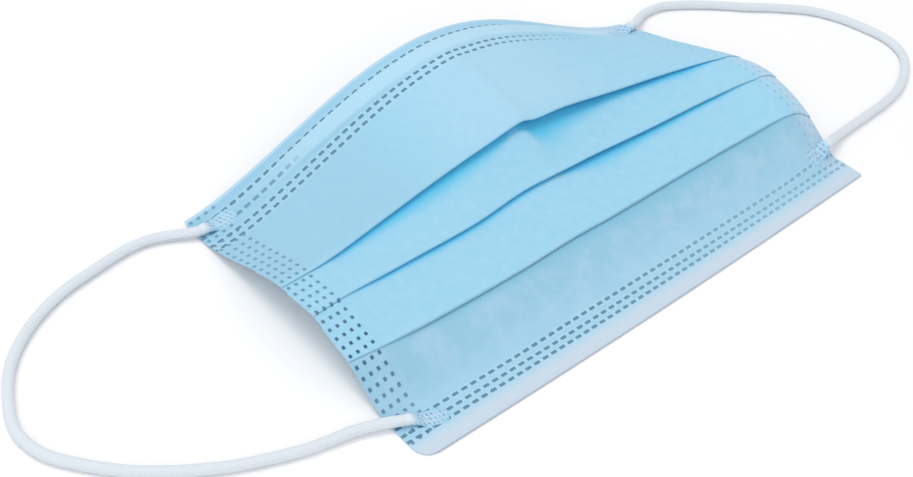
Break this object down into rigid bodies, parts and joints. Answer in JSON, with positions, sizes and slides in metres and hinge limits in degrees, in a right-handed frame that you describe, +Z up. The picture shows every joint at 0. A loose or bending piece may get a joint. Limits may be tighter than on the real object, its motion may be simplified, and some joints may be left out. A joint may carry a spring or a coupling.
{
  "type": "surgical face mask",
  "caption": "Pleated three-ply face mask with three folds, welded side edges, a nose wire channel, a white inner hem and two round elastic ear loops, lying flat.",
  "frame": {"origin": "on the surface that the mask lies on, below the middle of the cloth without its ear loops", "axes": "+X along the mask, towards the right ear loop; +Y from the lower hem to the nose edge; +Z up, away from the face side"},
  "size_m": [0.3076, 0.097, 0.0263],
  "materials": {
    "outer_cloth": "matte blue spunbond nonwoven, finely embossed, with pressed weld marks",
    "inner_cloth": "matte white spunbond nonwoven",
    "elastic": "soft white round knitted elastic",
    "nose_strip": "white plastic-coated flat wire"
  },
  "bodies": {
    "root": {"pleated_panel": "outer_cloth", "lower_hem": "inner_cloth", "upper_hem": "inner_cloth", "nose_wire": "nose_strip", "ear_loop_left": "elastic", "ear_loop_right": "elastic", "loop_tab_left_upper": "elastic", "loop_tab_left_lower": "elastic", "loop_tab_right_upper": "elastic", "loop_tab_right_lower": "elastic"}
  },
  "joints": []
}
